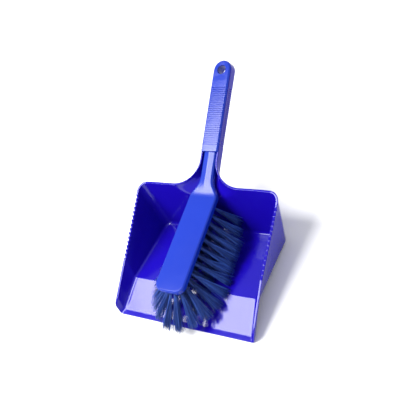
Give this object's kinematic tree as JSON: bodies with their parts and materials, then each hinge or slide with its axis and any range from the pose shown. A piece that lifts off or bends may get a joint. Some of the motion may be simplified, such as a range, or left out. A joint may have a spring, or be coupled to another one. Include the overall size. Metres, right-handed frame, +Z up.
{
  "type": "dust pan and brush set",
  "caption": "Dust pan with a channel handle and serrated side rims, and a hand brush with splayed bristle tufts that nests in the handle.",
  "frame": {"origin": "bottom centre of the set's box, on the plane that the pan stands on", "axes": "+X across the pan, +Y from the mouth towards the end of the handle, +Z up"},
  "size_m": [0.2324, 0.355, 0.1619],
  "materials": {
    "pan_plastic": "glossy injection-moulded polypropylene, saturated royal blue",
    "brush_plastic": "satin injection-moulded polypropylene, slightly lighter blue",
    "bristle": "navy synthetic filament, frayed ends"
  },
  "bodies": {
    "pan": {"pan": "pan_plastic"},
    "brush": {"brush_body": "brush_plastic", "tuft_01": "bristle", "tuft_02": "bristle", "tuft_03": "bristle", "tuft_04": "bristle", "tuft_05": "bristle", "tuft_06": "bristle", "tuft_07": "bristle", "tuft_08": "bristle", "tuft_09": "bristle", "tuft_10": "bristle", "tuft_11": "bristle", "tuft_12": "bristle", "tuft_13": "bristle", "tuft_14": "bristle", "tuft_15": "bristle", "tuft_16": "bristle", "tuft_17": "bristle", "tuft_18": "bristle", "tuft_19": "bristle", "tuft_20": "bristle", "tuft_21": "bristle", "tuft_22": "bristle", "tuft_23": "bristle", "tuft_24": "bristle", "tuft_25": "bristle", "tuft_26": "bristle", "tuft_27": "bristle", "tuft_28": "bristle", "tuft_29": "bristle", "tuft_30": "bristle", "tuft_31": "bristle", "tuft_32": "bristle", "tuft_33": "bristle", "tuft_34": "bristle", "tuft_35": "bristle", "tuft_36": "bristle", "tuft_37": "bristle", "tuft_38": "bristle", "tuft_39": "bristle", "tuft_40": "bristle", "tuft_41": "bristle", "tuft_42": "bristle", "tuft_43": "bristle", "tuft_44": "bristle", "tuft_45": "bristle", "tuft_46": "bristle", "tuft_47": "bristle", "tuft_48": "bristle", "tuft_49": "bristle", "tuft_50": "bristle", "tuft_51": "bristle", "tuft_52": "bristle", "tuft_53": "bristle", "tuft_54": "bristle", "tuft_55": "bristle", "tuft_56": "bristle", "tuft_57": "bristle"}
  },
  "joints": [
    {"name": "brush_lift", "type": "slide", "parent": "pan", "child": "brush", "axis": [0, -0.4226, 0.9063], "range_m": [0, 0.15]}
  ]
}
